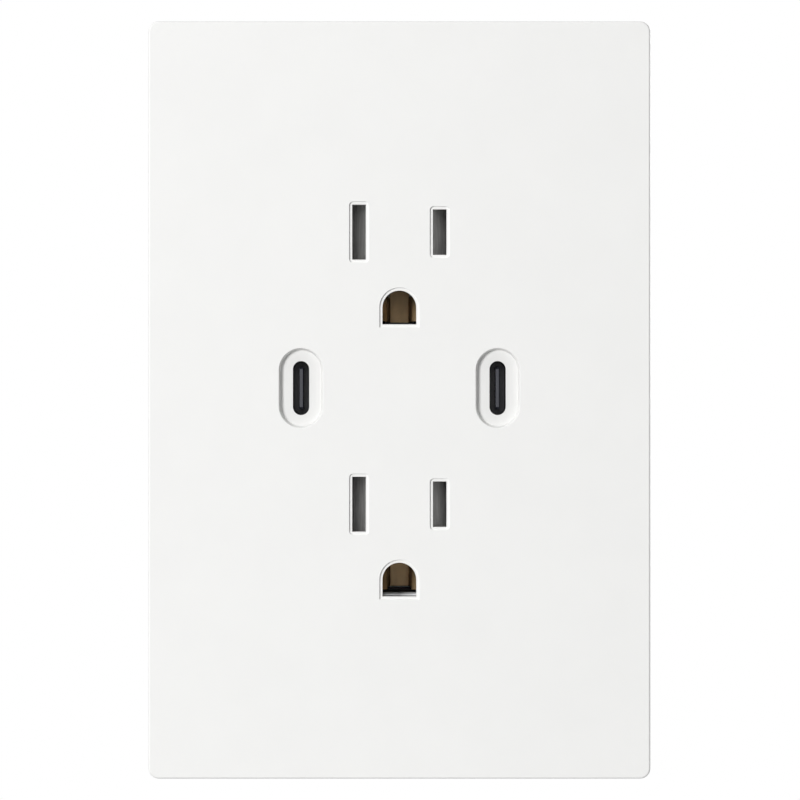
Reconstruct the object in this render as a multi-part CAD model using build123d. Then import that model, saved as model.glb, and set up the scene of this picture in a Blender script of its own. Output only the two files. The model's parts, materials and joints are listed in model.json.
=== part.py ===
from build123d import *

import math
import os

# A wall socket: two three-pin outlets and two upright USB ports behind a screwless plate.
# Millimetres. X runs right as seen from the front, Y runs back into the wall, Z runs up.
# The origin lies on the wall plane, at the middle of the plate.

# Wall plate
plate_width = 79.0
plate_height = 119.2
plate_wall = 2.0
plate_room = 0.7
skirt_wall = 1.8
skirt_inner_corner = 0.6
plate_corner = 1.65
plate_edge = 0.3
hook_width = 9.0
hook_thickness = 1.1
hook_flex = 0.3
hook_gap = 0.15
hook_catch = 0.5
hook_spread_across = 40.0
hook_spread_along = 60.0

# Frame under the plate, and its two screws
sub_plate_thickness = 1.6
sub_plate_corner = 2.0
window_gap = 0.3
plate_screw_spacing = 96.8
plate_screw_length = 8.0
plate_screw_head_radius = 3.3
head_hole_gap = 0.6

# Outlets: blade slots and ground openings, each inside a shallow ledge in the plate
blade_spacing = 12.7
upper_line = 26.43
outlet_pitch = 42.84
ground_drop = 11.86
slot_width = 2.15
neutral_slot_height = 8.66
hot_slot_height = 7.17
ground_radius = 2.66
ledge_margin = 0.45
ledge_corner = 0.6
ledge_depth = 0.28
ledge_edge = 0.06
slot_relief = 0.1

# USB ports
usb_offset = 15.49
usb_line = 1.88
usb_recess_width = 6.92
usb_recess_height = 12.55
usb_recess_depth = 1.1
usb_recess_draft = 15
usb_recess_edge = 0.1
usb_port_width = 2.56
usb_port_height = 8.5
usb_shell_width = 3.16
usb_shell_height = 8.94
usb_shell_wall = 0.3
shell_leg_width = 1.2
shell_leg_length = 2.4
tongue_thickness = 0.7
tongue_height = 6.69
tongue_sink = 0.5
tongue_bevel = 0.12
tongue_end_bevel = 0.35
tongue_root_depth = 3.8
contact_count = 6
contact_width = 0.3
contact_thickness = 0.12
contact_length = 2.6

# Housings
body_width = 44.0
body_corner = 3.0
body_inner_corner = 1.2
body_wall = 1.7
housing_edge = 0.8
rear_box_width = 31.0
rear_box_height = 60.0
post_radius = 3.0
post_inset = 3.8
assembly_screw_radius = 1.25
assembly_screw_length = 17.0
assembly_head_radius = 2.4
assembly_head_height = 1.6
counterbore_depth = 2.0

# Shutters, their trays and springs
shutter_width = 3.2
shutter_height = 10.0
shutter_depth = 2.7
shutter_tip = 0.3
shutter_crest = 0.55
shutter_front_gap = 0.3
guide_gap = 0.1
rail_wall = 0.75
stop_wall = 1.0
tray_floor = 0.8
blade_hole_gap = 0.28
tray_ear = 3.0
tray_ear_height = 3.6
tray_pin_radius = 0.8
spring_width = 3.0
spring_thickness = 0.25
spring_swing = 0.75
spring_waves = 4

# Mains contacts
blade_gap = 0.8
leaf_thickness = 0.6
leaf_flare = 0.6
leaf_depth = 9.7
leaf_throat = 4.0
leaf_width = 7.0
leaf_to_tray = 1.0
bus_thickness = 0.8
bus_arm_width = 4.0
bus_half_depth = 4.4
tail_offset = 11.5
tail_inset = 1.2
tail_width = 2.4
tail_end = 0.8
break_tab = 3.0
break_window = 3.0
terminal_spacing = 21.0
terminal_sink = 0.4
clamp_thickness = 1.2
clamp_size = 8.0
wire_hole_radius = 1.0
clamp_groove_radius = 0.7
wire_spacing = 5.2
window_margin = 0.9
pocket_wall = 1.0

# Screws that share a size
machine_screw_radius = 1.75
machine_head_radius = 3.4
machine_head_height = 1.8
screw_slot_width = 0.9
tip_bevel = 0.4
head_bevel = 0.6
thread_gap = 0.05
box_screw_length = 22.0
terminal_screw_length = 5.5
ground_screw_length = 7.0

# Yoke
yoke_thickness = 1.3
yoke_margin = 6.6
yoke_bend = 0.5
strip_width = 13.0
ear_width = 20.0
ear_corner = 2.0
plaster_ear_width = 34.0
plaster_ear_height = 8.6
plaster_ear_hole = 1.6
lug_corner = 3.0
box_screw_spacing = 83.3
box_slot_length = 6.6
box_slot_width = 4.0
strap_gap = 0.1
ground_wing = 8.5
ground_screw_depth = 11.4

# Ground contacts
ground_sheet = 0.4
ground_mouth = 3.9
ground_flare = 0.9
ground_flare_depth = 0.8
ground_bend = 0.4
ground_base_width = 3.2
ground_finger_width = 4.0
ground_finger_front = 3.5
ground_tail = 6.0
rivet_radius = 0.9
rivet_head_radius = 1.5
rivet_head_height = 0.45

# Contact carrier and insulation
carrier_floor = 2.5
cell_wall = 0.8
cell_gap = 0.3
clip_gap = 0.15
cell_front = 5.0
carrier_post_radius = 1.2
carrier_post_offset = 9.0
carrier_post_drop = 7.0
foot_width = 3.0
foot_length = 48.0
sheet_thickness = 0.5

# Boards and what stands on them
board_thickness = 1.6
board_gap = 0.3
usb_board_height = 18.8
board_rest = 1.5
board_post_height = 2.0
board_post_radius = 1.5
board_post_inset_across = 2.5
board_post_inset_along = 7.0
supply_room = 12.3
pin_count = 4
pin_pitch = 2.54
pin_width = 0.64
pin_inset = 1.5
header_height = 2.5
usb_chip_size = 4.0
usb_chip_height = 1.2
usb_chip_offset = 5.0
core_width = 14.0
core_height = 11.0
core_depth = 5.5
core_leg = 2.5
winding_length = 12.4
winding_corner = 2.4
bulk_radius = 4.0
bulk_height = 10.5
output_radius = 3.15
output_height = 9.0
choke_radius = 4.0
choke_height = 8.0
choke_flange = 1.4
fuse_radius = 4.2
fuse_height = 7.7
chip_height = 1.8
rectifier_length = 6.0
power_chip_length = 5.0
power_chip_pitch = 8.0
power_chip_drop = 9.3
part_gap = 0.9
bevel = 0.4

# Small allowances
fit_gap = 0.1
overcut = 0.5

# Depths worked out from the sizes, from the front back into the wall
wall_plane = 0.0
ear_front = wall_plane - yoke_thickness
sub_plate_front = ear_front - sub_plate_thickness
plate_inner = sub_plate_front - plate_room
plate_front = plate_inner - plate_wall
face_front = plate_inner + fit_gap
face_inner = ear_front - fit_gap
ledge_floor = plate_front + ledge_depth
usb_floor = plate_front + usb_recess_depth
shell_front = face_front
shutter_front = face_inner + shutter_front_gap
shutter_back = shutter_front + shutter_depth
tray_floor_front = shutter_back + guide_gap
tray_back = tray_floor_front + tray_floor
leaf_front = tray_back + leaf_to_tray
arm_front = leaf_front + leaf_depth
arm_back = arm_front + bus_thickness
strap_front = arm_back + carrier_floor
strap_back = strap_front + yoke_thickness
step_inner = strap_back + sheet_thickness
step_back = step_inner + body_wall
terminal_depth = arm_back - machine_screw_radius - board_gap
bus_front = terminal_depth - bus_half_depth
bus_back = terminal_depth + bus_half_depth
window_half = clamp_size / 2 + window_margin
seam = terminal_depth - window_half - pocket_wall
usb_board_back = seam - board_gap
usb_board_front = usb_board_back - board_thickness
power_board_front = step_inner + supply_room
power_board_back = power_board_front + board_thickness
rear_inner = power_board_back + board_post_height
rear_back = rear_inner + body_wall

# Heights worked out from the sizes
blade_lines = (upper_line, upper_line - outlet_pitch)
ground_lines = (blade_lines[0] - ground_drop, blade_lines[1] - ground_drop)
slot_heights = {-1: neutral_slot_height, 1: hot_slot_height}
rail_inner = shutter_height / 2 + guide_gap
rail_outer = rail_inner + rail_wall
strap_top = upper_line + rail_outer + strap_gap
strap_bottom = ground_lines[1] - ground_radius - strap_gap
body_height = 2 * (strap_top + yoke_thickness + strap_gap + body_wall)
body_half_height = body_height / 2
inner_half_height = body_half_height - body_wall
terminal_lines = (terminal_spacing / 2, -terminal_spacing / 2)
yoke_length = plate_height - 2 * yoke_margin

# Widths worked out from the sizes
body_half_width = body_width / 2
inner_half_width = body_half_width - body_wall
skirt_inside_width = plate_width - 2 * skirt_wall
skirt_inside_height = plate_height - 2 * skirt_wall
hook_depth = hook_flex + hook_thickness + hook_gap
sub_plate_width = skirt_inside_width - 2 * hook_depth
sub_plate_height = skirt_inside_height - 2 * hook_depth
clamp_outer = body_half_width - terminal_sink - machine_head_height
bus_outer = clamp_outer - clamp_thickness
bus_inner = bus_outer - bus_thickness
carrier_half_width = bus_inner - fit_gap
blade_offset = blade_spacing / 2
shutter_inner = blade_offset - shutter_width / 2
stop_inner = blade_offset + shutter_width / 2 + guide_gap
stop_outer = stop_inner + stop_wall
tray_pin_offset = stop_outer + tray_ear / 2
post_x = body_half_width - post_inset
post_z = body_half_height - post_inset
supply_half_width = rear_box_width / 2 - body_wall - board_gap
supply_half_height = rear_box_height / 2 - body_wall - board_gap
usb_board_half_width = inner_half_width - board_gap
pin_column = supply_half_width - pin_inset
ground_screw_x = -(strip_width / 2 + ground_wing / 2)
sides = (-1, 1)


# Shapes used again and again
def block(x0, x1, y0, y1, z0, z1):
    """A box between two opposite corners."""
    centre = Pos((x0 + x1) / 2, (y0 + y1) / 2, (z0 + z1) / 2)
    return centre * Box(x1 - x0, y1 - y0, z1 - z0)


def slab(outline, y0, y1, draft=0.0):
    """An outline drawn in X and Z at y1 and drawn out forward to y0, where a draft makes it larger."""
    return Pos(0, y1, 0) * extrude(Plane.XZ * outline, amount=y1 - y0, taper=-draft)


def bar(outline, x0, x1):
    """An outline drawn in Y and Z, drawn out across from x0 to x1."""
    return Pos(x0, 0, 0) * extrude(Plane.YZ * outline, amount=x1 - x0)


def column(outline, z0, z1):
    """An outline drawn in X and Y, drawn out upward from z0 to z1."""
    return Pos(0, 0, z0) * extrude(outline, amount=z1 - z0)


def polygon(*points):
    """A flat face inside straight sides."""
    return make_face(Polyline(*points, close=True))


def hole(x, z, radius, y0, y1):
    """A round cutter or pin along Y."""
    return slab(Pos(x, z) * Circle(radius), y0, y1)


def mirrored(piece):
    """The same piece on the other side of the middle plane."""
    return mirror(piece, about=Plane.YZ)


def together(pieces):
    """Separate solids that share one node."""
    return Compound(children=list(pieces))


def screw(radius, length, head_radius, head_height, neck_radius=0.0, neck=0.0):
    """A slotted screw: its head stands in front of the origin, its shank runs back along Y."""
    head = slab(Circle(head_radius), -head_height, 0)
    head = chamfer(head.edges().sort_by(Axis.Y)[0], head_bevel)
    shank = slab(Circle(radius), neck, length)
    shank = chamfer(shank.edges().sort_by(Axis.Y)[-1], tip_bevel)
    slot_half = screw_slot_width / 2
    slot_floor = -head_height / 2
    slot = block(-head_radius, head_radius, -head_height - overcut, slot_floor, -slot_half, slot_half)
    if neck:
        shank += slab(Circle(neck_radius), 0, neck)
    return head + shank - slot


# Outlines of the openings, drawn in X and Z
def blade_outline(side, line, margin=0.0, corner=0.0):
    """A blade slot, or a larger outline around it."""
    width = slot_width + 2 * margin
    height = slot_heights[side] + 2 * margin
    shape = RectangleRounded(width, height, corner) if corner else Rectangle(width, height)
    return Pos(side * blade_offset, line) * shape


def ground_outline(line, margin=0.0):
    """A ground opening with its round top and flat bottom, or a larger outline around it."""
    half = ground_radius + margin
    sides_and_floor = Polyline((-half, 0), (-half, -half), (half, -half), (half, 0))
    roof = ThreePointArc((half, 0), (0, half), (-half, 0))
    return Pos(0, line) * make_face([*sides_and_floor.edges(), roof])


def upright_slot(side, width, height):
    """An upright round-ended outline at a USB port."""
    return Pos(side * usb_offset, usb_line) * SlotOverall(height, width, rotation=90)


def outlet_openings(margin=0.0, corner=0.0):
    """Every blade slot and ground opening, or larger outlines around them."""
    blades = [blade_outline(side, line, margin, corner) for line in blade_lines for side in sides]
    grounds = [ground_outline(line, margin) for line in ground_lines]
    return blades + grounds


def usb_openings(width, height):
    return [upright_slot(side, width, height) for side in sides]


# Plate and frame
def plate_hook(reach, offset):
    """A snap hook inside the plate's top skirt, whose catch closes behind the frame's edge."""
    near = reach + hook_gap
    far = near + hook_thickness
    catch_front = ear_front + fit_gap
    catch_back = catch_front + hook_catch
    profile = polygon(
        (plate_inner - overcut, near),
        (catch_front, near),
        (catch_front, near - hook_catch),
        (catch_back, near),
        (catch_back, far),
        (plate_inner - overcut, far),
    )
    return bar(profile, offset - hook_width / 2, offset + hook_width / 2)


def recess_rims(plate, line, reach):
    """The front edges of the plate's recesses whose middles are within a reach of a line."""
    front = plate.faces().sort_by(Axis.Y)[0]
    near = [wire for wire in front.inner_wires() if abs(wire.center().Z - line) < reach]
    return [edge for wire in near for edge in wire.edges()]


def wall_plate():
    plate = slab(RectangleRounded(plate_width, plate_height, plate_corner), plate_front, wall_plane)
    plate = fillet(plate.faces().sort_by(Axis.Y)[0].edges(), plate_edge)
    inside = RectangleRounded(skirt_inside_width, skirt_inside_height, skirt_inner_corner)
    plate -= slab(inside, plate_inner, wall_plane)
    for outline in outlet_openings(ledge_margin, ledge_corner):
        plate -= slab(outline, plate_front, ledge_floor)
    plate = fillet(recess_rims(plate, 0, plate_height / 2), ledge_edge)
    draft_loss = 2 * usb_recess_depth * math.tan(math.radians(usb_recess_draft))
    for outline in usb_openings(usb_recess_width - draft_loss, usb_recess_height - draft_loss):
        plate -= slab(outline, plate_front, usb_floor, usb_recess_draft)
    plate = fillet(recess_rims(plate, usb_line, usb_recess_height / 2), usb_recess_edge)
    for outline in outlet_openings() + usb_openings(usb_port_width, usb_port_height):
        plate -= slab(outline, plate_front, plate_inner)
    for turn in (0, 180):
        for side in sides:
            top = plate_hook(sub_plate_height / 2, side * hook_spread_across / 2)
            flank = plate_hook(sub_plate_width / 2, side * hook_spread_along / 2)
            plate += Rot(0, turn, 0) * top
            plate += Rot(0, turn + 90, 0) * flank
    return plate


def sub_plate():
    outline = RectangleRounded(sub_plate_width, sub_plate_height, sub_plate_corner)
    frame = slab(outline, sub_plate_front, ear_front)
    window = RectangleRounded(body_width + 2 * window_gap, body_height + 2 * window_gap, body_corner)
    frame -= slab(window, sub_plate_front, ear_front)
    for end in sides:
        head_hole = machine_head_radius + head_hole_gap
        frame -= hole(0, end * box_screw_spacing / 2, head_hole, sub_plate_front, ear_front)
        frame -= Pos(0, sub_plate_front, end * plate_screw_spacing / 2) * countersink(thread_gap)
    return frame


def countersink(gap=0.0):
    """A flat-headed screw from its head's top back, grown by a gap when it cuts its own seat."""
    radius = machine_screw_radius + gap
    head = plate_screw_head_radius + gap
    profile = polygon(
        (0, 0),
        (head, 0),
        (radius, sub_plate_thickness),
        (radius, plate_screw_length - tip_bevel),
        (radius - tip_bevel, plate_screw_length),
        (0, plate_screw_length),
    )
    return revolve(profile, Axis.Y)


def sub_plate_screws():
    reach = plate_screw_head_radius
    slot_half = screw_slot_width / 2
    driver = countersink() - block(-reach, reach, -overcut, sub_plate_thickness / 2, -slot_half, slot_half)
    return together(Pos(0, sub_plate_front, end * plate_screw_spacing / 2) * driver for end in sides)


# Housings
def body_outline(inset=0.0):
    corner = body_inner_corner if inset else body_corner
    return RectangleRounded(body_width - 2 * inset, body_height - 2 * inset, corner)


def corners():
    return [(x * post_x, z * post_z) for x in sides for z in sides]


def ear_notch(end, gap, y0, y1):
    """The gap in an end wall that the yoke passes through, or the tongue that closes it."""
    half = strip_width / 2 + gap
    low, high = sorted((end * inner_half_height, end * body_half_height))
    return block(-half, half, y0, y1, low, high)


def face_housing():
    body = slab(body_outline(), face_front, seam)
    body -= slab(body_outline(body_wall), face_inner, seam)
    for outline in outlet_openings(slot_relief):
        body -= slab(outline, face_front, face_inner)
    for outline in usb_openings(usb_shell_width + 2 * fit_gap, usb_shell_height + 2 * fit_gap):
        body -= slab(outline, face_front, face_inner)
    for x, z in corners():
        body += hole(x, z, post_radius, face_inner, seam)
        body -= hole(x, z, assembly_screw_radius + thread_gap, face_inner + body_wall, seam)
    for line in blade_lines:
        for side in sides:
            body += hole(side * tray_pin_offset, line, tray_pin_radius, face_inner, tray_back)
    for side in sides:
        body += [board_support(side, end) for end in sides]
        body -= ear_notch(side, fit_gap, face_inner, seam)
    return body


def board_support(side, end):
    """A rib on the face housing's side wall, under a corner of the USB board."""
    x0, x1 = sorted((side * (usb_board_half_width - board_rest), side * inner_half_width))
    middle = usb_line + end * (usb_board_height / 2 - board_rest)
    return block(x0, x1, face_inner, usb_board_front, middle - board_rest, middle + board_rest)


def terminal_pocket(line):
    """The walls that close a terminal window off from the inside of the body."""
    half = window_half + pocket_wall
    back = terminal_depth + half
    return block(bus_outer + fit_gap, inner_half_width + fit_gap, seam, back, line - half, line + half)


def terminal_window(line):
    low = terminal_depth - window_half
    high = terminal_depth + window_half
    return block(bus_outer, body_half_width, low, high, line - window_half, line + window_half)


def wire_holes(line):
    """Two round holes in the step, behind a terminal's clamp plate."""
    x = bus_outer + wire_hole_radius
    heights = [line + end * wire_spacing / 2 for end in sides]
    return [hole(x, z, wire_hole_radius, terminal_depth, step_back) for z in heights]


def rear_housing():
    body = slab(body_outline(), seam, step_back)
    body = fillet(body.faces().sort_by(Axis.Y)[-1].edges(), housing_edge)
    box = slab(RectangleRounded(rear_box_width, rear_box_height, body_corner), step_inner, rear_back)
    box = fillet(box.faces().sort_by(Axis.Y)[-1].edges(), housing_edge)
    body += box
    body -= slab(body_outline(body_wall), seam, step_inner)
    inside_width = rear_box_width - 2 * body_wall
    inside_height = rear_box_height - 2 * body_wall
    body -= slab(RectangleRounded(inside_width, inside_height, body_inner_corner), step_inner, rear_inner)
    for line in terminal_lines:
        for pocket in (terminal_pocket(line), mirrored(terminal_pocket(line))):
            body += pocket
        for cut in (terminal_window(line), *wire_holes(line)):
            body -= cut
            body -= mirrored(cut)
    for x, z in corners():
        body += hole(x, z, post_radius, seam, step_inner)
        body -= hole(x, z, assembly_screw_radius + thread_gap, seam, step_back)
        body -= hole(x, z, assembly_head_radius + fit_gap, step_back - counterbore_depth, step_back)
    for end in sides:
        body += ear_notch(end, 0.0, wall_plane + yoke_bend + fit_gap, seam)
    for x in sides:
        for z in sides:
            post_at_x = x * (supply_half_width - board_post_inset_across)
            post_at_z = z * (supply_half_height - board_post_inset_along)
            body += hole(post_at_x, post_at_z, board_post_radius, power_board_back, rear_inner)
    return body - ground_window()


def ground_window():
    """The opening in the bottom end wall that shows the ground screw."""
    half = machine_head_radius + window_margin
    x = ground_screw_x
    y = ground_screw_depth
    return block(x - half, x + half, y - half, y + half, -body_half_height, -inner_half_height)


def assembly_screws():
    driver = screw(assembly_screw_radius, assembly_screw_length, assembly_head_radius, assembly_head_height)
    seat = step_back - counterbore_depth
    return together(Pos(x, seat, z) * Rot(180, 0, 0) * driver for x, z in corners())


# Yoke and its screws
def strap_section():
    """The folded strap seen from the side: ear, drop, centre strip, drop, ear."""
    end = body_half_height + ear_corner
    outer = yoke_bend + yoke_thickness
    drop_top = strap_top + yoke_thickness
    drop_bottom = strap_bottom - yoke_thickness
    front = FilletPolyline(
        (ear_front, -end),
        (ear_front, strap_bottom),
        (strap_front, strap_bottom),
        (strap_front, strap_top),
        (ear_front, strap_top),
        (ear_front, end),
        radius=[outer, yoke_bend, yoke_bend, outer],
    )
    back = FilletPolyline(
        (wall_plane, end),
        (wall_plane, drop_top),
        (strap_back, drop_top),
        (strap_back, drop_bottom),
        (wall_plane, drop_bottom),
        (wall_plane, -end),
        radius=[yoke_bend, outer, outer, yoke_bend],
    )
    ends = [Line((ear_front, end), (wall_plane, end)), Line((wall_plane, -end), (ear_front, -end))]
    return make_face([*front.edges(), *back.edges(), *ends])


def yoke_ear():
    """The upper ear: a plate with a screw slot, a threaded hole and wide break-off lugs."""
    root = body_half_height + window_gap
    tip = yoke_length / 2
    middle = (root + tip) / 2
    lug_line = tip - plaster_ear_height / 2
    outline = Pos(0, middle) * RectangleRounded(ear_width, tip - root, ear_corner)
    outline += Pos(0, lug_line) * RectangleRounded(plaster_ear_width, plaster_ear_height, lug_corner)
    ear = slab(outline, ear_front, wall_plane)
    slot = SlotOverall(box_slot_length, box_slot_width)
    ear -= slab(Pos(0, box_screw_spacing / 2) * slot, ear_front, wall_plane)
    thread = machine_screw_radius + thread_gap
    ear -= hole(0, plate_screw_spacing / 2, thread, ear_front, wall_plane)
    for side in sides:
        ear -= hole(side * ear_width / 2, lug_line, plaster_ear_hole / 2, ear_front, wall_plane)
    return ear


def yoke():
    half = strip_width / 2
    strap = bar(strap_section(), -half, half)
    strap += yoke_ear()
    strap += Rot(0, 180, 0) * yoke_ear()
    wing_front = ground_screw_depth - machine_head_radius
    drop_bottom = strap_bottom - yoke_thickness
    strap += block(-half - ground_wing, -half, wing_front, arm_back, drop_bottom, strap_bottom)
    thread = machine_screw_radius + thread_gap
    strap -= Pos(ground_screw_x, ground_screw_depth, 0) * column(Circle(thread), drop_bottom, strap_bottom)
    for line in ground_lines:
        strap -= hole(0, line + rivet_rise(), rivet_radius + thread_gap, strap_front, strap_back)
    return strap


def box_screws():
    neck_radius = machine_screw_radius - tip_bevel
    driver = screw(
        machine_screw_radius,
        box_screw_length,
        machine_head_radius,
        machine_head_height,
        neck_radius,
        yoke_thickness,
    )
    return together(Pos(0, ear_front, end * box_screw_spacing / 2) * driver for end in sides)


def ground_screw():
    driver = screw(machine_screw_radius, ground_screw_length, machine_head_radius, machine_head_height)
    seat = strap_bottom - yoke_thickness
    return Pos(ground_screw_x, ground_screw_depth, seat) * Rot(90, 0, 0) * driver


# Ground contacts
def rivet_rise():
    """How far a ground contact's rivet stands above the pin's axis."""
    return (ground_finger_width + ground_tail) / 2


def ground_contact(line):
    """A folded clip: two fingers that lean together toward the base and flare out at the mouth."""
    mouth = (ground_mouth + ground_sheet) / 2
    corner = (ground_base_width + ground_sheet) / 2
    base = ground_base_width / 2
    base_front = strap_front - ground_sheet
    finger = [
        (mouth + ground_flare, ground_finger_front),
        (mouth, ground_finger_front + ground_flare_depth),
        (corner, strap_front - ground_sheet / 2),
    ]
    other = [(-x, y) for x, y in reversed(finger)]
    section = trace(FilletPolyline(*finger, *other, radius=ground_bend), line_width=ground_sheet)
    half = ground_finger_width / 2
    clip = column(section, line - half, line + half)
    clip += block(-base, base, base_front, strap_front, line + half, line + half + ground_tail)
    return clip - hole(0, line + rivet_rise(), rivet_radius + thread_gap, base_front, strap_front)


def ground_rivets():
    """Each rivet clamps a contact's tail to the strap between its two heads."""
    base_front = strap_front - ground_sheet
    rivets = []
    for line in ground_lines:
        z = line + rivet_rise()
        rivet = hole(0, z, rivet_radius, base_front, strap_back)
        rivet += hole(0, z, rivet_head_radius, base_front - rivet_head_height, base_front)
        rivet += hole(0, z, rivet_head_radius, strap_back, strap_back + rivet_head_height)
        rivets.append(rivet)
    return together(rivets)


# Mains contacts and terminals, made on the hot side and mirrored to the neutral side
def blade_leaves(line):
    """Two spring leaves that close on a blade and flare toward the front."""
    throat = leaf_front + leaf_throat
    root = blade_gap + leaf_thickness / 2
    mouth = blade_gap + leaf_flare
    leaf = polygon(
        (mouth, leaf_front),
        (mouth + leaf_thickness, leaf_front),
        (blade_gap + leaf_thickness, throat),
        (root + leaf_thickness, arm_back),
        (root, arm_back),
        (blade_gap, throat),
    )
    leaf = column(leaf, line - leaf_width / 2, line + leaf_width / 2)
    middle = Pos(blade_offset, 0, 0)
    bridge = block(-root, root, arm_front, arm_back, line - leaf_width / 2, line + leaf_width / 2)
    return middle * (leaf + mirrored(leaf) + bridge)


def hot_bus():
    half = bus_arm_width / 2
    top = blade_lines[0] + half
    bottom = blade_lines[1] - half
    bus = block(bus_inner, bus_outer, bus_front, bus_back, bottom, top)
    for line in blade_lines:
        bus += blade_leaves(line)
        bus += block(blade_offset, bus_outer, arm_front, arm_back, line - half, line + half)
    for line in terminal_lines:
        bus -= terminal_hole(line, bus_inner, bus_outer)
    tab_front = terminal_depth - break_tab / 2
    tab_back = terminal_depth + break_tab / 2
    for y0, y1 in ((bus_front, tab_front), (tab_back, bus_back)):
        bus -= block(bus_inner, bus_outer, y0, y1, -break_window / 2, break_window / 2)
    return bus + supply_tail()


def supply_tail():
    """The tab that carries the mains from the upper arm back to the power board."""
    tab = block(*tail_sides(), arm_front, power_board_back + tail_end, *tail_ends())
    low, high = sorted((tail_ends()[0], blade_lines[0]))
    return tab + block(*tail_sides(), arm_front, arm_back, low, high)


def tail_sides(gap=0.0):
    half = bus_thickness / 2 + gap
    return tail_offset - half, tail_offset + half


def tail_ends(gap=0.0):
    top = supply_half_height - tail_inset
    return top - tail_width - gap, top + gap


def tail_slots(y0, y1):
    """Clearance for both supply tails through a wall or board."""
    slot = block(*tail_sides(fit_gap), y0, y1, *tail_ends(fit_gap))
    return [slot, mirrored(slot)]


def terminal_hole(line, x0, x1):
    return bar(Pos(terminal_depth, line) * Circle(machine_screw_radius + thread_gap), x0, x1)


def hot_terminal_screws():
    driver = screw(machine_screw_radius, terminal_screw_length, machine_head_radius, machine_head_height)
    driver = Rot(0, 0, 90) * driver
    return together(Pos(clamp_outer, terminal_depth, line) * driver for line in terminal_lines)


def clamp_plate(line):
    """A square pressure plate with two grooves for the wires."""
    half = clamp_size / 2
    low = terminal_depth - half
    high = terminal_depth + half
    plate = block(bus_outer, clamp_outer, low, high, line - half, line + half)
    plate -= terminal_hole(line, bus_outer, clamp_outer)
    for end in sides:
        plate -= hole(bus_outer, line + end * wire_spacing / 2, clamp_groove_radius, low, high)
    return plate


def hot_clamp_plates():
    return together(clamp_plate(line) for line in terminal_lines)


# Shutters
def hot_shutter(line):
    """A sliding wedge: a blade pushes on its ramp, and it moves in toward the middle."""
    half = shutter_width / 2
    wedge = polygon(
        (-half, shutter_front),
        (-half + shutter_crest, shutter_front),
        (half, shutter_back - shutter_tip),
        (half, shutter_back),
        (-half, shutter_back),
    )
    return Pos(blade_offset, 0, 0) * column(wedge, line - shutter_height / 2, line + shutter_height / 2)


def shutter_tray(line):
    """An open tray: a floor with two blade holes, two rails, two stops and two pinned lugs."""
    front = tray_floor_front
    lug = tray_pin_offset + tray_ear / 2
    lug_half = tray_ear_height / 2
    tray = block(-stop_outer, stop_outer, face_inner, tray_back, line - rail_outer, line + rail_outer)
    tray -= block(-stop_inner, stop_inner, face_inner, front, line - rail_inner, line + rail_inner)
    tray += block(-lug, lug, front, tray_back, line - lug_half, line + lug_half)
    for side in sides:
        blade_hole = Rectangle(slot_width + 2 * blade_hole_gap, neutral_slot_height + 2 * blade_hole_gap)
        tray -= slab(Pos(side * blade_offset, line) * blade_hole, front, tray_back)
        tray -= hole(side * tray_pin_offset, line, tray_pin_radius + thread_gap, front, tray_back)
    return tray


def shutter_spring(line):
    """A strip folded back and forth between the two shutters."""
    reach = shutter_inner - thread_gap - spring_thickness / 2
    middle = (shutter_front + shutter_back) / 2
    folds = 2 * spring_waves
    step = 2 * reach / folds
    points = [(-reach + step * i, middle + spring_swing * (-1) ** i) for i in range(folds + 1)]
    strip = trace(Polyline(*points), line_width=spring_thickness)
    return column(strip, line - spring_width / 2, line + spring_width / 2)


# USB connectors
def usb_shell(side):
    """A drawn metal tube with two legs that go through the board."""
    outer = upright_slot(side, usb_shell_width, usb_shell_height)
    inner = upright_slot(side, usb_shell_width - 2 * usb_shell_wall, usb_shell_height - 2 * usb_shell_wall)
    shell = slab(outer - inner, shell_front, usb_board_front)
    for leg in shell_legs(side):
        shell += leg
    return shell


def shell_legs(side, gap=0.0):
    half = shell_leg_width / 2 + gap
    wall = usb_shell_wall + gap
    x = side * usb_offset
    tip = usb_board_front + shell_leg_length
    legs = []
    for end in sides:
        edge = usb_line + end * usb_shell_height / 2
        low, high = sorted((edge + end * gap, edge - end * wall))
        legs.append(block(x - half, x + half, usb_board_front, tip, low, high))
    return legs


def usb_tongue(side):
    """The insulator that closes the shell's back, with the tongue that stands out of it."""
    inset = usb_shell_wall + thread_gap
    root = upright_slot(side, usb_shell_width - 2 * inset, usb_shell_height - 2 * inset)
    root_front = usb_board_front - tongue_root_depth
    blade = Pos(side * usb_offset, usb_line) * Rectangle(tongue_thickness, tongue_height)
    tongue = slab(blade, shell_front + tongue_sink, root_front)
    tip = tongue.faces().sort_by(Axis.Y)[0]
    tongue = chamfer(tip.edges().sort_by(SortBy.LENGTH)[:2], tongue_end_bevel)
    tip = tongue.faces().sort_by(Axis.Y)[0]
    tongue = chamfer(tip.edges().sort_by(SortBy.LENGTH)[-2:], tongue_bevel)
    return slab(root, root_front, usb_board_front) + tongue - contact_bars(side)


def contact_bars(side):
    """Two rows of flat contacts, flush with the tongue's faces."""
    pitch = tongue_height / (contact_count + 1)
    half = contact_width / 2
    back = usb_board_front - tongue_root_depth
    bars = []
    for face in sides:
        outside = side * usb_offset + face * tongue_thickness / 2
        x0, x1 = sorted((outside, outside - face * contact_thickness))
        for i in range(contact_count):
            z = usb_line + pitch * (i - (contact_count - 1) / 2)
            bars.append(block(x0, x1, back - contact_length, back, z - half, z + half))
    return bars


def usb_contacts(side):
    return together(contact_bars(side))


# Boards
def pin_lines():
    return [usb_line + pin_pitch * (i - (pin_count - 1) / 2) for i in range(pin_count)]


def square_pins(width, y0, y1):
    half = width / 2
    return [block(pin_column - half, pin_column + half, y0, y1, z - half, z + half) for z in pin_lines()]


def pin_holes(y0, y1):
    return square_pins(pin_width + 2 * thread_gap, y0, y1)


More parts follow.
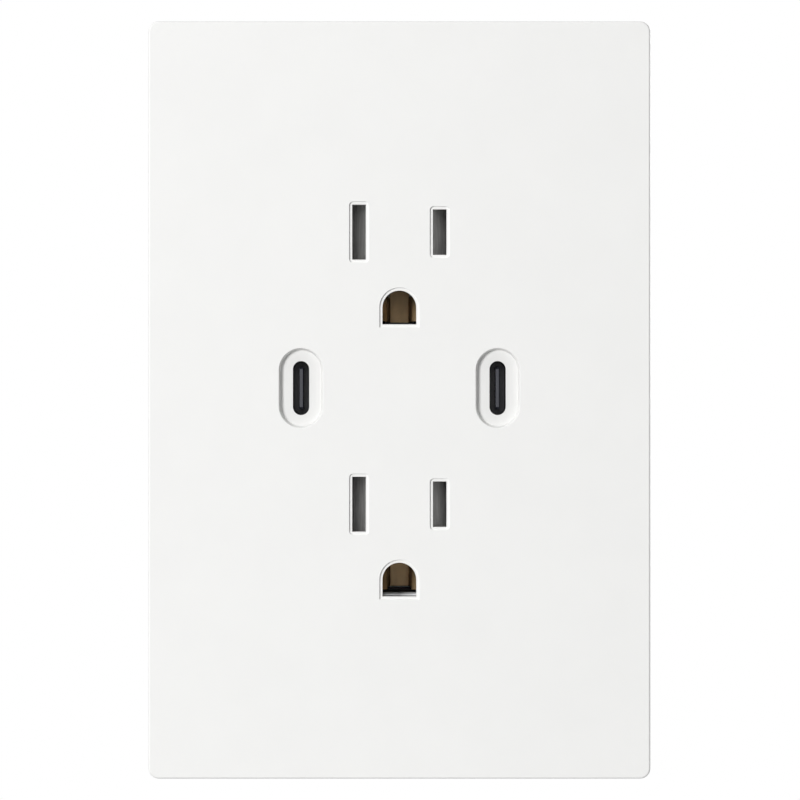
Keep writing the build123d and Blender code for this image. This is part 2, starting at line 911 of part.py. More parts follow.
def usb_board():
    outline = Pos(0, usb_line) * Rectangle(2 * usb_board_half_width, usb_board_height)
    board = slab(outline, usb_board_front, usb_board_back)
    for side in sides:
        board -= shell_legs(side, fit_gap)
    return board - pin_holes(usb_board_front, usb_board_back)


def usb_chips():
    half = usb_chip_size / 2
    chips = []
    for side in sides:
        x = side * usb_chip_offset
        back = usb_board_back + usb_chip_height
        chips.append(block(x - half, x + half, usb_board_back, back, usb_line - half, usb_line + half))
    return together(chips)


def supply_outline():
    return RectangleRounded(2 * supply_half_width, 2 * supply_half_height, body_inner_corner)


def power_board():
    board = slab(supply_outline(), power_board_front, power_board_back)
    board -= tail_slots(power_board_front, power_board_back)
    return board - pin_holes(power_board_front, power_board_back)


def link_pins():
    """Square pins that join the two boards."""
    return together(square_pins(pin_width, usb_board_front - tail_end, power_board_back + tail_end))


def link_header():
    """The strip that holds the pins on the power board."""
    half = pin_pitch / 2
    low = pin_lines()[0] - half
    high = pin_lines()[-1] + half
    front = power_board_front - header_height
    strip = block(pin_column - half, pin_column + half, front, power_board_front, low, high)
    return strip - pin_holes(front, power_board_front)


# Parts on the power board, standing forward from its front face
def transformer_centre():
    right = pin_column - pin_pitch / 2 - part_gap
    return right - core_width / 2, usb_line + winding_length / 2


def transformer_core():
    x, z = transformer_centre()
    back = power_board_front
    front = back - core_height
    half = core_width / 2
    thick = core_depth / 2
    core = block(x - half, x + half, front, back, z - thick, z + thick)
    for side in sides:
        x0, x1 = sorted((x + side * core_leg, x + side * (half - core_leg)))
        core -= block(x0, x1, front + core_leg, back - core_leg, z - thick, z + thick)
    return core


def transformer_winding():
    x, z = transformer_centre()
    front = power_board_front - core_height + core_leg + fit_gap
    back = power_board_front - core_leg - fit_gap
    width = core_width - 2 * core_leg - 2 * fit_gap
    coil = slab(Pos(x, z) * RectangleRounded(width, winding_length, winding_corner), front, back)
    leg = Rectangle(2 * core_leg + 2 * fit_gap, core_depth + 2 * fit_gap)
    return coil - slab(Pos(x, z) * leg, front, back)


def can(x, z, radius, height):
    """A capacitor can with a bevelled top, a crimp above its base and a flat foot."""
    front = power_board_front - height
    body = hole(x, z, radius, front, power_board_front)
    body = chamfer(body.edges().sort_by(Axis.Y)[0], bevel)
    crimp_back = power_board_front - 2 * bevel
    ring = hole(x, z, radius, crimp_back - 2 * bevel, crimp_back)
    ring -= hole(x, z, radius - bevel, crimp_back - 2 * bevel, crimp_back)
    return body - ring


def bulk_capacitors():
    x = -supply_half_width + part_gap + bulk_radius
    middle = transformer_centre()[1]
    step = bulk_radius + part_gap / 2
    return together(can(x, middle + end * step, bulk_radius, bulk_height) for end in sides)


def output_capacitors():
    x = supply_half_width - part_gap - output_radius
    top = pin_lines()[0] - pin_pitch - part_gap - output_radius
    rows = [top, top - 2 * output_radius - part_gap]
    return together(can(x, z, output_radius, output_height) for z in rows)


def choke():
    """A drum core: two flanges and the coil between them."""
    x = -supply_half_width + part_gap + choke_radius
    z = -choke_radius - pin_pitch
    front = power_board_front - choke_height
    coil = hole(x, z, choke_radius - bevel, front, power_board_front)
    coil += hole(x, z, choke_radius, front, front + choke_flange)
    return coil + hole(x, z, choke_radius, power_board_front - choke_flange, power_board_front)


def fuse():
    x = tail_offset - bus_thickness / 2 - part_gap - fuse_radius
    z = supply_half_height - part_gap - fuse_radius
    body = hole(x, z, fuse_radius, power_board_front - fuse_height, power_board_front)
    return chamfer(body.edges().sort_by(Axis.Y)[0], bevel)


def chip(x, z, width, height):
    front = power_board_front - chip_height
    body = slab(Pos(x, z) * Rectangle(width, height), front, power_board_front)
    return chamfer(body.faces().sort_by(Axis.Y)[0].edges(), bevel / 2)


def rectifier():
    x = -tail_offset + bus_thickness / 2 + part_gap + usb_chip_size / 2
    z = supply_half_height - part_gap - rectifier_length / 2
    return chip(x, z, usb_chip_size, rectifier_length)


def power_chips():
    x = -usb_chip_size / 2
    rows = [-power_chip_drop, -power_chip_drop - power_chip_pitch]
    return together(chip(x, z, usb_chip_size, power_chip_length) for z in rows)


# Insulation
def contact_cell(line):
    """Four walls around one pair of leaves, with a gap for the arm."""
    reach = blade_gap + leaf_flare + leaf_thickness + cell_gap
    half = leaf_width / 2 + cell_gap
    middle = blade_offset
    outer = block(
        middle - reach - cell_wall,
        middle + reach + cell_wall,
        cell_front,
        arm_back,
        line - half - cell_wall,
        line + half + cell_wall,
    )
    cell = outer - block(middle - reach, middle + reach, cell_front, arm_back, line - half, line + half)
    arm_half = bus_arm_width / 2 + fit_gap
    return cell - block(middle, bus_outer, arm_front - fit_gap, arm_back, line - arm_half, line + arm_half)


def contact_carrier():
    """The tray behind the mains contacts, with a lip above the yoke's lower bend."""
    low = strap_bottom + yoke_bend
    high = strap_top - yoke_bend
    carrier = block(-carrier_half_width, carrier_half_width, arm_back, strap_front, low, high)
    for x, z in corners():
        carrier -= hole(x, z, post_radius + board_gap, arm_back, strap_front)
    for line in blade_lines:
        for cell in (contact_cell(line), mirrored(contact_cell(line))):
            carrier += cell
    lip_half = strip_width / 2
    lip_back = strap_front - yoke_bend
    carrier += block(-lip_half, lip_half, arm_back, lip_back, strap_bottom + fit_gap, low)
    for line in ground_lines:
        half = ground_base_width / 2 + ground_sheet + cell_gap
        top = line + ground_finger_width / 2 + ground_tail + cell_gap
        bottom = line - ground_finger_width / 2 - clip_gap
        carrier -= block(-half, half, arm_back, strap_front, bottom, top)
    for x in sides:
        for end in sides:
            post_at = (x * carrier_post_offset, usb_line + end * carrier_post_drop)
            carrier += hole(*post_at, carrier_post_radius, usb_board_back, arm_back)
        x0, x1 = sorted((x * carrier_half_width, x * (carrier_half_width - foot_width)))
        carrier += block(x0, x1, strap_front, step_inner, -foot_length / 2, foot_length / 2)
    carrier -= tail_slots(arm_back, strap_front)
    return carrier - pin_holes(arm_back, strap_front)


def insulator_sheet():
    sheet = slab(supply_outline(), strap_back, step_inner)
    for line in ground_lines:
        sheet -= hole(0, line + rivet_rise(), rivet_head_radius + fit_gap, strap_back, step_inner)
    sheet -= tail_slots(strap_back, step_inner)
    return sheet - pin_holes(strap_back, step_inner)


# Every node by name
nodes = {
    "wall_plate": wall_plate(),
    "sub_plate": sub_plate(),
    "sub_plate_screws": sub_plate_screws(),
    "face_housing": face_housing(),
    "rear_housing": rear_housing(),
    "assembly_screws": assembly_screws(),
    "yoke": yoke(),
    "box_screws": box_screws(),
    "ground_screw": ground_screw(),
    "upper_ground_contact": ground_contact(ground_lines[0]),
    "lower_ground_contact": ground_contact(ground_lines[1]),
    "ground_rivets": ground_rivets(),
    "hot_bus": hot_bus(),
    "neutral_bus": mirrored(hot_bus()),
    "hot_terminal_screws": hot_terminal_screws(),
    "neutral_terminal_screws": mirrored(hot_terminal_screws()),
    "hot_clamp_plates": hot_clamp_plates(),
    "neutral_clamp_plates": mirrored(hot_clamp_plates()),
    "contact_carrier": contact_carrier(),
    "insulator_sheet": insulator_sheet(),
    "left_usb_shell": usb_shell(-1),
    "right_usb_shell": usb_shell(1),
    "left_usb_tongue": usb_tongue(-1),
    "right_usb_tongue": usb_tongue(1),
    "left_usb_contacts": usb_contacts(-1),
    "right_usb_contacts": usb_contacts(1),
    "usb_board": usb_board(),
    "usb_chips": usb_chips(),
    "power_board": power_board(),
    "link_pins": link_pins(),
    "link_header": link_header(),
    "transformer_core": transformer_core(),
    "transformer_winding": transformer_winding(),
    "bulk_capacitors": bulk_capacitors(),
    "output_capacitors": output_capacitors(),
    "choke": choke(),
    "fuse": fuse(),
    "rectifier": rectifier(),
    "power_chips": power_chips(),
}
for place, line in zip(("upper", "lower"), blade_lines):
    nodes[f"{place}_hot_shutter"] = hot_shutter(line)
    nodes[f"{place}_neutral_shutter"] = mirrored(hot_shutter(line))
    nodes[f"{place}_shutter_tray"] = shutter_tray(line)
    nodes[f"{place}_shutter_spring"] = shutter_spring(line)

os.makedirs("parts", exist_ok=True)
for name, piece in nodes.items():
    export_step(piece, f"parts/{name}.step")
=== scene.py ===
"""Looks of the wall socket: materials for every CAD node, screws, springs, a bead, light and camera."""

import itertools
import json
import math

import bmesh
import bpy
from mathutils import Matrix, Vector


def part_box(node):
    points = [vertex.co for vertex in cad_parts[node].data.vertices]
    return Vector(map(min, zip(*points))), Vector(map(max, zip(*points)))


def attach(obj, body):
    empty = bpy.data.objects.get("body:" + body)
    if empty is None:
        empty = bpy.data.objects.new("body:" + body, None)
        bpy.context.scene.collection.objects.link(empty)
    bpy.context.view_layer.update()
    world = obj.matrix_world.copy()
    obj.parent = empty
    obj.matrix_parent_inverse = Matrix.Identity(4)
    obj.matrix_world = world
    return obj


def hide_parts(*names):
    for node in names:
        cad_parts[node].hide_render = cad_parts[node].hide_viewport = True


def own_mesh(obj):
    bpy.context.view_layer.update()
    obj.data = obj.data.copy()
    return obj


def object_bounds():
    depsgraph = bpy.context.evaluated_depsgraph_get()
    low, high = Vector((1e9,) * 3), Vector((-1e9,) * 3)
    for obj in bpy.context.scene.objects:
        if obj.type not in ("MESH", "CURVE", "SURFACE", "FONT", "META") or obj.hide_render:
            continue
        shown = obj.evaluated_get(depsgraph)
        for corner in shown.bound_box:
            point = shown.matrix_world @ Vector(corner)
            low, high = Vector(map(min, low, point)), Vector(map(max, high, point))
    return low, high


MM = 0.001

# What the photograph sets: its width at the plate's front, how far off and how far aside the camera stood
view_width = 125.87 * MM
camera_distance = 620 * MM
camera_aside = 0.1 * MM
sensor_width = 36.0

# Light
key_place = Vector((-1.10, -1.80, 0.30))
key_size = (0.60, 0.50)
key_power = 37.2
top_place = Vector((-0.15, -0.35, 1.10))
top_size = (0.70, 0.70)
top_power = 3.1
front_place = Vector((-0.05, -0.48, 0.22))
front_size = (0.16, 0.30)
front_power = 0.27
rear_place = Vector((0.45, 0.75, 0.12))
rear_size = (0.25, 0.25)
rear_power = 6.0
fill_strength = 0.07
background_strength = 1.0

# Floor, well below the part and out of the camera's view: even over a share of its radius, then fading out
floor_drop = 60 * MM
floor_radius = 0.48
floor_segments = 96
floor_even_share = 0.45
floor_cover = 0.55
floor_colour = (0.9, 0.9, 0.9)
floor_roughness = 0.8

# The middle part of a texture's values, which is spread over a range of roughness or between two colours
roughness_span = (0.3, 0.7)
colour_span = (0.35, 0.65)

# Edges that the shader rounds: its samples, and the radius on each kind of material
edge_samples = 6
plastic_edge = 0.06 * MM
shutter_edge = 0.05 * MM
metal_edge = 0.08 * MM

# Front mouldings: their colour, and a shallower grain and more even colour than the others have
white = (0.86, 0.86, 0.848)
front_finish = {"depth": 0.002 * MM, "mottle": 0.012}

# Painted shade on the floors of the USB recesses: how far behind the plate's front their colour begins to be
# darkened, and by how much
recess_shade_start = 0.7 * MM
recess_shade_share = 0.90

# Copper tracks in the boards, and turns of the tape round the coil
track_scale = 260
track_width = 0.045
track_offset = 0.35
track_squash = 0.7
tape_scale = 170
tape_waver = 0.6

# Screws: 3.5 mm machine screws, flat-headed ones, and coarser self-tapping ones that close the body
machine_screw = {"thread": 1.75 * MM, "head": 3.4 * MM, "head_height": 1.8 * MM, "pitch": 0.8 * MM}
flat_screw = {**machine_screw, "head": 3.3 * MM, "head_height": 1.6 * MM}
tapping_screw = {"thread": 1.25 * MM, "head": 2.4 * MM, "head_height": 1.6 * MM, "pitch": 1.1 * MM}
thread_depth_share = 0.5
thread_rows_per_pitch = 8
neck_length = 1.4 * MM
tip_bevel = 0.5 * MM
head_bevel = 0.15 * MM
crown_top_share = 0.55
crown_rise_share = 0.5
crown_steps = 6
slot_width = 1.1 * MM
slot_depth_share = 0.5
cutter_overreach = 1.5
turn_segments = 32
turn_between_screws = 0.7

# A node's box that is narrower than this many head radii holds one screw across
lone_screw_radii = 3

# Half-round bead on the yoke's lower bend, which the lower ground opening shows as a silver bar
bead_behind_front = 7.1 * MM
bead_length = 10.0 * MM
bead_width = 1.2 * MM
bead_height = 0.5 * MM
bead_sink = 0.02 * MM
bead_steps = 12

# Springs between the shutters: the strip's thickness, its waves, and the steps along each wave
spring_thickness = 0.25 * MM
spring_waves = 4
wave_steps = 16

# Faces that meet at more than this angle keep a sharp edge
sharp_angle = math.radians(32)

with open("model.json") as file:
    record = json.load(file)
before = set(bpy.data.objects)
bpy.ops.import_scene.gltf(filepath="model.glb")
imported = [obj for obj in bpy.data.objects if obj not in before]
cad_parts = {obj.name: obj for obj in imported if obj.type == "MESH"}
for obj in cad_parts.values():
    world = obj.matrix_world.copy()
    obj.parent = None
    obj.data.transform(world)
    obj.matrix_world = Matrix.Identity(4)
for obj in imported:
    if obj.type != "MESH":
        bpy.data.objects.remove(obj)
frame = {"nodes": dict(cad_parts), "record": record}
cad_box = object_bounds()
low, high = (Vector(corner) for corner in cad_box)
nodes = frame["nodes"]


# Node helpers
def new_material(name):
    """A node material with its shader, ready for texture nodes."""
    made = bpy.data.materials.new(name)
    made.use_nodes = True
    return made, made.node_tree.nodes["Principled BSDF"]


def add_node(made, kind, **settings):
    node = made.node_tree.nodes.new(kind)
    for key, value in settings.items():
        setattr(node, key, value)
    return node


def link(made, source, target):
    made.node_tree.links.new(source, target)


def place(made, stretch=(1, 1, 1), turn=(0, 0, 0)):
    """Coordinates in the part's own frame, stretched along the axes or turned."""
    coordinate = add_node(made, "ShaderNodeTexCoord")
    mapping = add_node(made, "ShaderNodeMapping")
    mapping.inputs["Scale"].default_value = stretch
    mapping.inputs["Rotation"].default_value = turn
    link(made, coordinate.outputs["Object"], mapping.inputs["Vector"])
    return mapping.outputs["Vector"]


def noise(made, grain, detail=3.0, stretch=(1, 1, 1)):
    """Noise whose features are about one grain across, in metres."""
    texture = add_node(made, "ShaderNodeTexNoise")
    texture.inputs["Scale"].default_value = 1 / grain
    texture.inputs["Detail"].default_value = detail
    link(made, place(made, stretch), texture.inputs["Vector"])
    return texture.outputs["Fac"]


def roughen(made, shader, source, smooth, rough):
    """Roughness that a noise varies between two values."""
    node = add_node(made, "ShaderNodeMapRange")
    node.inputs["From Min"].default_value, node.inputs["From Max"].default_value = roughness_span
    node.inputs["To Min"].default_value = smooth
    node.inputs["To Max"].default_value = rough
    link(made, source, node.inputs["Value"])
    link(made, node.outputs["Result"], shader.inputs["Roughness"])


def tint(made, shader, source, first, second):
    """Base colour that a texture varies between two colours."""
    ramp = add_node(made, "ShaderNodeValToRGB")
    for stop, position, colour in zip(ramp.color_ramp.elements, colour_span, (first, second)):
        stop.position = position
        stop.color = (*colour, 1)
    link(made, source, ramp.inputs["Fac"])
    link(made, ramp.outputs["Color"], shader.inputs["Base Color"])


def relief(made, shader, height, depth, edge=0.0):
    """Bump of a real depth in metres, over edges that look rounded."""
    bump = add_node(made, "ShaderNodeBump")
    bump.inputs["Distance"].default_value = depth
    link(made, height, bump.inputs["Height"])
    if edge:
        rounding = add_node(made, "ShaderNodeBevel", samples=edge_samples)
        rounding.inputs["Radius"].default_value = edge
        link(made, rounding.outputs["Normal"], bump.inputs["Normal"])
    link(made, bump.outputs["Normal"], shader.inputs["Normal"])


def painted_shade_behind(made, colour, start, share):
    """The colour as it is up to a depth, and darkened by a painted shade on the floors behind it."""
    coordinate = add_node(made, "ShaderNodeTexCoord")
    axes = add_node(made, "ShaderNodeSeparateXYZ")
    link(made, coordinate.outputs["Object"], axes.inputs["Vector"])
    behind = add_node(made, "ShaderNodeMath", operation="GREATER_THAN")
    behind.inputs[1].default_value = start
    link(made, axes.outputs["Y"], behind.inputs[0])
    mix = add_node(made, "ShaderNodeMix", data_type="RGBA", blend_type="MULTIPLY")
    mix.inputs["B"].default_value = (share, share, share, 1)
    link(made, behind.outputs["Value"], mix.inputs["Factor"])
    link(made, colour, mix.inputs["A"])
    return mix.outputs["Result"]


def either(made, first, second):
    """One where at least one of two flags is one."""
    node = add_node(made, "ShaderNodeMath", operation="MAXIMUM")
    link(made, first, node.inputs[0])
    link(made, second, node.inputs[1])
    return node.outputs["Value"]


def scaled(colour, factor):
    return tuple(channel * factor for channel in colour)


# Materials
def moulded(name, colour, roughness, grain=0.25 * MM, depth=0.004 * MM, mottle=0.02):
    """Moulded plastic: a fine spark-eroded grain, faint cloudy colour and uneven gloss."""
    made, shader = new_material(name)
    clouds = noise(made, grain=9 * MM, detail=4.0)
    tint(made, shader, clouds, scaled(colour, 1 - mottle), colour)
    fine = noise(made, grain, detail=2.0)
    roughen(made, shader, fine, smooth=roughness - 0.05, rough=roughness + 0.05)
    relief(made, shader, fine, depth, edge=plastic_edge)
    return made


def plate_plastic_with_painted_shade(name, colour, roughness):
    """The plate's plastic, with a painted shade that darkens the floors of the USB recesses."""
    made = moulded(name, colour, roughness, **front_finish)
    base_colour = made.node_tree.nodes["Principled BSDF"].inputs["Base Color"]
    plain = base_colour.links[0].from_socket
    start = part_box("wall_plate")[0].y + recess_shade_start
    # Painted shade: the colour of the recess floors is darkened, standing for the shade in the USB recesses
    link(made, painted_shade_behind(made, plain, start, recess_shade_share), base_colour)
    return made


def streaked(name, colour, roughness):
    """The shutters' plastic, with fine upright tool marks."""
    made, shader = new_material(name)
    marks = noise(made, grain=0.16 * MM, stretch=(1, 1, 0.04))
    tint(made, shader, marks, scaled(colour, 0.8), scaled(colour, 1.15))
    roughen(made, shader, marks, smooth=roughness - 0.08, rough=roughness + 0.08)
    relief(made, shader, marks, depth=0.006 * MM, edge=shutter_edge)
    return made


def sheet_metal(name, colour, roughness, rolling=(1, 1, 0.05), metallic=1.0):
    """Rolled or plated metal: rolling marks one way, and patches of dulled colour."""
    made, shader = new_material(name)
    shader.inputs["Metallic"].default_value = metallic
    patches = noise(made, grain=3 * MM, detail=5.0)
    tint(made, shader, patches, scaled(colour, 0.82), colour)
    marks = noise(made, grain=0.12 * MM, detail=2.0, stretch=rolling)
    roughen(made, shader, marks, smooth=roughness - 0.07, rough=roughness + 0.1)
    relief(made, shader, marks, depth=0.003 * MM, edge=metal_edge)
    return made


def painted(name, colour, metallic):
    """Lacquer on a steel screw, worn thin in patches."""
    made, shader = new_material(name)
    shader.inputs["Metallic"].default_value = metallic
    wear = noise(made, grain=0.8 * MM, detail=5.0)
    tint(made, shader, wear, scaled(colour, 0.6), scaled(colour, 1.3))
    roughen(made, shader, wear, smooth=0.25, rough=0.42)
    relief(made, shader, wear, depth=0.008 * MM, edge=metal_edge)
    return made


def solder_mask(name, colour):
    """A printed board: lacquer over copper tracks that run in straight steps."""
    made, shader = new_material(name)
    tracks = add_node(made, "ShaderNodeTexBrick", offset=track_offset, squash=track_squash)
    tracks.inputs["Scale"].default_value = track_scale
    tracks.inputs["Mortar Size"].default_value = track_width
    for socket, shade in (("Color1", 1), ("Color2", 0.86), ("Mortar", 1.7)):
        tracks.inputs[socket].default_value = (*scaled(colour, shade), 1)
    link(made, place(made, turn=(math.pi / 2, 0, 0)), tracks.inputs["Vector"])
    link(made, tracks.outputs["Color"], shader.inputs["Base Color"])
    weave = noise(made, grain=0.4 * MM, detail=2.0)
    roughen(made, shader, weave, smooth=0.25, rough=0.36)
    relief(made, shader, tracks.outputs["Fac"], depth=0.02 * MM)
    return made


def wound(name, colour):
    """Tape wrapped round a coil, each turn a little proud of the next."""
    made, shader = new_material(name)
    turns = add_node(made, "ShaderNodeTexWave", bands_direction="Y", wave_profile="SAW")
    turns.inputs["Scale"].default_value = tape_scale
    turns.inputs["Distortion"].default_value = tape_waver
    link(made, place(made), turns.inputs["Vector"])
    height = turns.outputs["Fac"]
    tint(made, shader, height, scaled(colour, 0.8), colour)
    roughen(made, shader, noise(made, grain=1.5 * MM), smooth=0.25, rough=0.4)
    relief(made, shader, height, depth=0.05 * MM)
    return made


materials = {
    "plate_white": plate_plastic_with_painted_shade("plate_white", white, 0.5),
    "face_white": moulded("face_white", white, 0.45, **front_finish),
    "frame_white": moulded("frame_white", (0.72, 0.72, 0.70), 0.55),
    "housing_grey": moulded("housing_grey", (0.42, 0.43, 0.44), 0.5, grain=0.4 * MM, depth=0.008 * MM),
    "shutter_grey": streaked("shutter_grey", (0.55, 0.543, 0.54), 0.5),
    "carrier_black": moulded("carrier_black", (0.02, 0.02, 0.022), 0.5, mottle=0.2),
    "zinc_steel": sheet_metal("zinc_steel", (0.80, 0.805, 0.81), 0.45, metallic=0.35),
    "brass": sheet_metal("brass", (0.80, 0.58, 0.27), 0.28),
    "nickel": sheet_metal("nickel", (0.68, 0.66, 0.62), 0.26),
    "green_steel": painted("green_steel", (0.03, 0.26, 0.09), metallic=0.35),
    "spring_steel": sheet_metal("spring_steel", (0.5, 0.5, 0.5), 0.3, rolling=(1, 1, 0.1)),
    # The connector shells' near-black colour is painted shade, standing for the shadow deep inside the USB
    # ports; the shells are steel
    "connector_steel": sheet_metal("connector_steel", (0.018, 0.0185, 0.021), 0.35),
    "tongue_grey": moulded("tongue_grey", (0.024, 0.026, 0.036), 0.4, mottle=0.15),
    "gold": sheet_metal("gold", (0.9, 0.66, 0.25), 0.2),
    "board_green": solder_mask("board_green", (0.02, 0.14, 0.05)),
    "chip_black": moulded("chip_black", (0.018, 0.018, 0.02), 0.6, grain=0.1 * MM, mottle=0.2),
    "ferrite": moulded("ferrite", (0.035, 0.034, 0.034), 0.55, grain=0.15 * MM, depth=0.02 * MM, mottle=0.3),
    "winding_tape": wound("winding_tape", (0.75, 0.5, 0.05)),
    "can_sleeve": moulded("can_sleeve", (0.012, 0.02, 0.05), 0.2, mottle=0.2),
    "sheet_film": moulded("sheet_film", (0.6, 0.55, 0.45), 0.6, grain=0.6 * MM, mottle=0.08),
}
slot_of = {part["node"]: part["material_slot"] for part in frame["record"]["subparts"]}
for name, node in nodes.items():
    node.data.materials.clear()
    node.data.materials.append(materials[slot_of[name]])

# The ground clips' brass is duller than that of the other brass pieces
contact_brass = sheet_metal("contact_brass", (0.86, 0.61, 0.34), 0.38, metallic=0.5)
for name in ("upper_ground_contact", "lower_ground_contact"):
    nodes[name].data.materials[0] = contact_brass


# Pieces that stand for plain CAD nodes, and the bead
def skin(name, rings):
    """A closed mesh over a row of rings that have as many points each."""
    shape = bmesh.new()
    rows = [[shape.verts.new(point) for point in ring] for ring in rings]
    for one, two in zip(rows, rows[1:]):
        for i in range(len(one)):
            j = (i + 1) % len(one)
            shape.faces.new((one[i], one[j], two[j], two[i]))
    shape.faces.new(rows[0])
    shape.faces.new(rows[-1])
    bmesh.ops.recalc_face_normals(shape, faces=shape.faces)
    mesh = bpy.data.meshes.new(name)
    shape.to_mesh(mesh)
    shape.free()
    return mesh


def add_piece(name, mesh, slot, replaced=None):
    """A smooth piece that rides on the socket, and may stand for a plain CAD node."""
    mesh.shade_smooth()
    mesh.set_sharp_from_angle(angle=sharp_angle)
    mesh.materials.clear()
    mesh.materials.append(materials[slot])
    piece = bpy.data.objects.new(name, mesh)
    bpy.context.scene.collection.objects.link(piece)
    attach(piece, "socket")
    if replaced:
        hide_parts(replaced)
    return piece


def turned_ring(y, radii):
    """A ring round the Y axis with its own radius at each segment."""
    turn = 2 * math.pi / len(radii)
    return [Vector((r * math.cos(i * turn), y, r * math.sin(i * turn))) for i, r in enumerate(radii)]


def head_profile(size, countersunk):
    """Radius and height of a screw head, from its top to its seat at zero."""
    head = size["head"]
    top = -size["head_height"]
    if countersunk:
        return [(head - head_bevel, top), (head, top + head_bevel), (size["thread"], 0)]
    crown = []
    for step in range(crown_steps + 1):
        lean = math.pi / 2 * step / crown_steps
        radius = head * (crown_top_share + (1 - crown_top_share) * math.sin(lean))
        height = top * (1 - crown_rise_share + crown_rise_share * math.cos(lean))
        crown.append((radius, height))
    return crown + [(head, -head_bevel), (head - head_bevel, 0)]


def thread_rings(size, start, end):
    """Rings whose radius follows a helix, and which taper at the tip."""
    depth = thread_depth_share * size["pitch"]
    count = math.ceil((end - start) / size["pitch"] * thread_rows_per_pitch)
    rings = []
    for row in range(count + 1):
        y = start + (end - start) * row / count
        crest = min(size["thread"], size["thread"] - tip_bevel + end - y)
        waves = [abs(2 * ((y / size["pitch"] + i / turn_segments) % 1) - 1) for i in range(turn_segments)]
        rings.append(turned_ring(y, [crest - depth * wave for wave in waves]))
    return rings


def cut_slot(mesh, size):
    """A copy of a screw with the driver's slot cut across its head."""
    box = bmesh.new()
    bmesh.ops.create_cube(box, size=1.0)
    reach = cutter_overreach * 2 * size["head"]
    bmesh.ops.scale(box, vec=(reach, size["head_height"] * 2 * slot_depth_share, slot_width), verts=box.verts)
    bmesh.ops.translate(box, vec=(0, -size["head_height"], 0), verts=box.verts)
    cutter_mesh = bpy.data.meshes.new("slot_cutter")
    box.to_mesh(cutter_mesh)
    box.free()
    screw = bpy.data.objects.new("uncut_screw", mesh)
    cutter = bpy.data.objects.new("slot_cutter", cutter_mesh)
    for made in (screw, cutter):
        bpy.context.scene.collection.objects.link(made)
    cut = screw.modifiers.new("slot", "BOOLEAN")
    cut.object = cutter
    graph = bpy.context.evaluated_depsgraph_get()
    slotted = bpy.data.meshes.new_from_object(screw.evaluated_get(graph))
    for made in (screw, cutter):
        bpy.data.objects.remove(made)
    return slotted


def single_screw(size, length, countersunk):
    """One slotted and threaded screw along Y, with its head's seat at zero."""
    neck = 0 if countersunk else neck_length
    rings = [turned_ring(y, [r] * turn_segments) for r, y in head_profile(size, countersunk)]
    if neck:
        rings.append(turned_ring(0, [size["thread"] - tip_bevel] * turn_segments))
    rings += thread_rings(size, neck, length)
    return cut_slot(skin("uncut_screw", rings), size)


def screw_seats(node, size, axis):
    """Where a node's screws stand: alone in the middle of its box, or at the box's ends."""
    low_corner, high_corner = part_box(node)
    choices = []
    for i in range(3):
        near, far = low_corner[i], high_corner[i]
        if axis[i] > 0:
            choices.append([far - size["head_height"]])
        elif axis[i] < 0:
            choices.append([near + size["head_height"]])
        elif far - near < lone_screw_radii * size["head"]:
            choices.append([(near + far) / 2])
        else:
            choices.append([near + size["head"], far - size["head"]])
    return [Vector(seat) for seat in itertools.product(*choices)]


def threaded_screws(node, size, axis, countersunk=False):
    """Screws that stand for a node, each turned a little further; the axis points out of their heads."""
    axis = Vector(axis)
    low_corner, high_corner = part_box(node)
    length = abs((high_corner - low_corner).dot(axis)) - size["head_height"]
    single = single_screw(size, length, countersunk)
    upright = Vector((0, -1, 0)).rotation_difference(axis).to_matrix().to_4x4()
    joined = bmesh.new()
    for count, seat in enumerate(screw_seats(node, size, axis)):
        copy = single.copy()
        turn = Matrix.Rotation(turn_between_screws * count, 4, "Y")
        copy.transform(Matrix.Translation(seat) @ upright @ turn)
        joined.from_mesh(copy)
    mesh = bpy.data.meshes.new(node + "_threaded")
    joined.to_mesh(mesh)
    joined.free()
    add_piece(node + "_threaded", mesh, slot_of[node], node)


def wave_spring(node):
    """A strip bent in waves, between the shutters."""
    low_corner, high_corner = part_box(node)
    half = spring_thickness / 2
    middle = (low_corner + high_corner) / 2
    reach = (high_corner.x - low_corner.x) / 2 - half
    swing = (high_corner.y - low_corner.y) / 2 - spring_thickness
    count = spring_waves * wave_steps
    rings = []
    for i in range(count + 1):
        angle = 2 * math.pi * i / wave_steps
        spot = Vector((-reach + 2 * reach * i / count, middle.y + swing * math.cos(angle), 0))
        slope = -swing * math.sin(angle) * math.pi * spring_waves / reach
        across = Vector((-slope, 1, 0)).normalized() * half
        front, back = spot - across, spot + across
        foot, top = low_corner.z, high_corner.z
        corners = ((front, foot), (back, foot), (back, top), (front, top))
        rings.append([Vector((point.x, point.y, z)) for point, z in corners])
    piece = add_piece(node + "_wave", skin(node + "_wave", rings), slot_of[node], node)
    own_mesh(piece)


def yoke_bead():
    """The half-round bead on the yoke's lower bend, with rounded ends."""
    start = Vector((0, low.y + bead_behind_front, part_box("lower_ground_contact")[0].z))
    graph = bpy.context.evaluated_depsgraph_get()
    shelf = bpy.context.scene.ray_cast(graph, start, Vector((0, 0, -1)))[1]
    foot = shelf.z - bead_sink
    arch = [math.pi * step / bead_steps for step in range(bead_steps + 1)]
    count = 2 * bead_steps + 1
    rings = []
    for i in range(count):
        # The rings lie half a step off the ends, where a ring would shrink to a point
        lean = math.pi * (i + 0.5) / count
        x = -math.cos(lean) * bead_length / 2
        share = math.sqrt(min(1, (bead_length / 2 - abs(x)) / bead_height))
        across = share * bead_width / 2
        rise = share * bead_height
        rings.append([Vector((x, start.y - across * math.cos(a), foot + rise * math.sin(a))) for a in arch])
    add_piece("yoke_bead", skin("yoke_bead", rings), slot_of["yoke"])


threaded_screws("box_screws", machine_screw, (0, -1, 0))
threaded_screws("hot_terminal_screws", machine_screw, (1, 0, 0))
threaded_screws("neutral_terminal_screws", machine_screw, (-1, 0, 0))
threaded_screws("ground_screw", machine_screw, (0, 0, -1))
threaded_screws("assembly_screws", tapping_screw, (0, 1, 0))
threaded_screws("sub_plate_screws", flat_screw, (0, -1, 0), countersunk=True)
wave_spring("upper_shutter_spring")
wave_spring("lower_shutter_spring")
yoke_bead()


